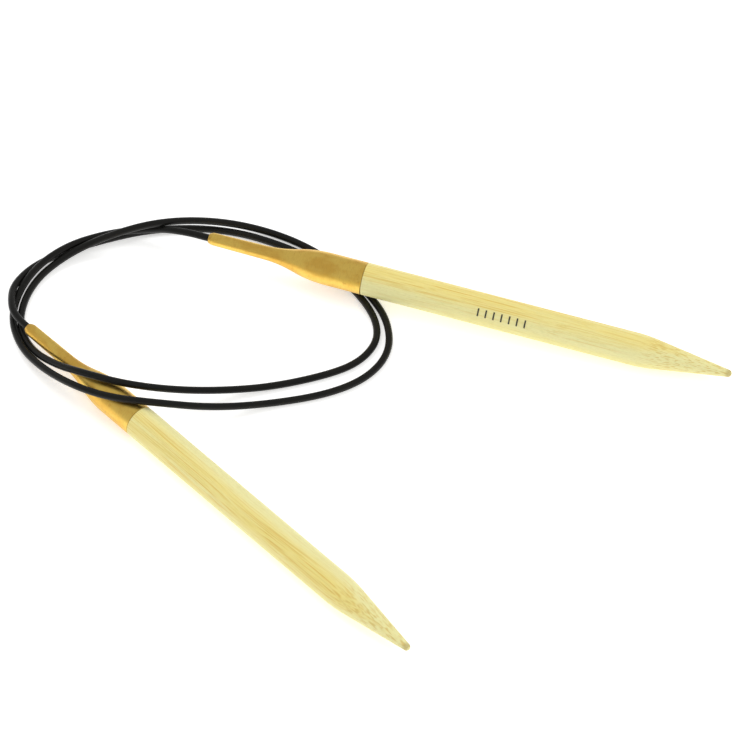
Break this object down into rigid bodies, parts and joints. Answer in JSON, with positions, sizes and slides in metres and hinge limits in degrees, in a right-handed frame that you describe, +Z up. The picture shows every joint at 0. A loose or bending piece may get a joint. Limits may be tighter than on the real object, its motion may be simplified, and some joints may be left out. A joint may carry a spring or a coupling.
{
  "type": "circular knitting needle",
  "caption": "Circular knitting needle: pointed bamboo tips glued into swivelling brass ferrules, joined by a long flexible cable that lies in loose turns.",
  "frame": {"origin": "middle of the two needles' common box, on the surface that they lie on", "axes": "+Z up; +X along the longer side of the box, towards the point of needle A; the loop of cable lies at the -X, +Y side and needle B points to -Y"},
  "size_m": [0.152, 0.1142, 0.0117],
  "materials": {
    "bamboo": "fine straight grain, satin wax",
    "brass": "polished",
    "crimp": "satin",
    "cable": "smooth nylon with a soft sheen"
  },
  "bodies": {
    "cable_coil": {"cable": "cable", "cable_end_b": "cable", "end_stop_b": "crimp"},
    "cable_end": {"cable_end_a": "cable", "end_stop_a": "crimp"},
    "needle_a": {"ferrule_a": "brass", "bamboo_tip_a": "bamboo"},
    "needle_b": {"ferrule_b": "brass", "bamboo_tip_b": "bamboo"}
  },
  "joints": [
    {"name": "needle_a_lift", "type": "hinge", "parent": "cable_coil", "child": "cable_end", "pos_m": [-0.0381, 0.05256, 0.00633], "axis": [-0.3007, -0.9537, 0], "range_deg": [0, 40], "deforming": ["cable_end_a"]},
    {"name": "needle_a_swivel", "type": "hinge", "parent": "cable_end", "child": "needle_a", "pos_m": [-0.02133, 0.04727, 0.00583], "axis": [0.9533, -0.3006, -0.0288], "continuous": true},
    {"name": "needle_b_swivel", "type": "hinge", "parent": "cable_coil", "child": "needle_b", "pos_m": [-0.06264, 0.01874, 0.0035], "axis": [0.6921, -0.7218, 0], "continuous": true}
  ]
}
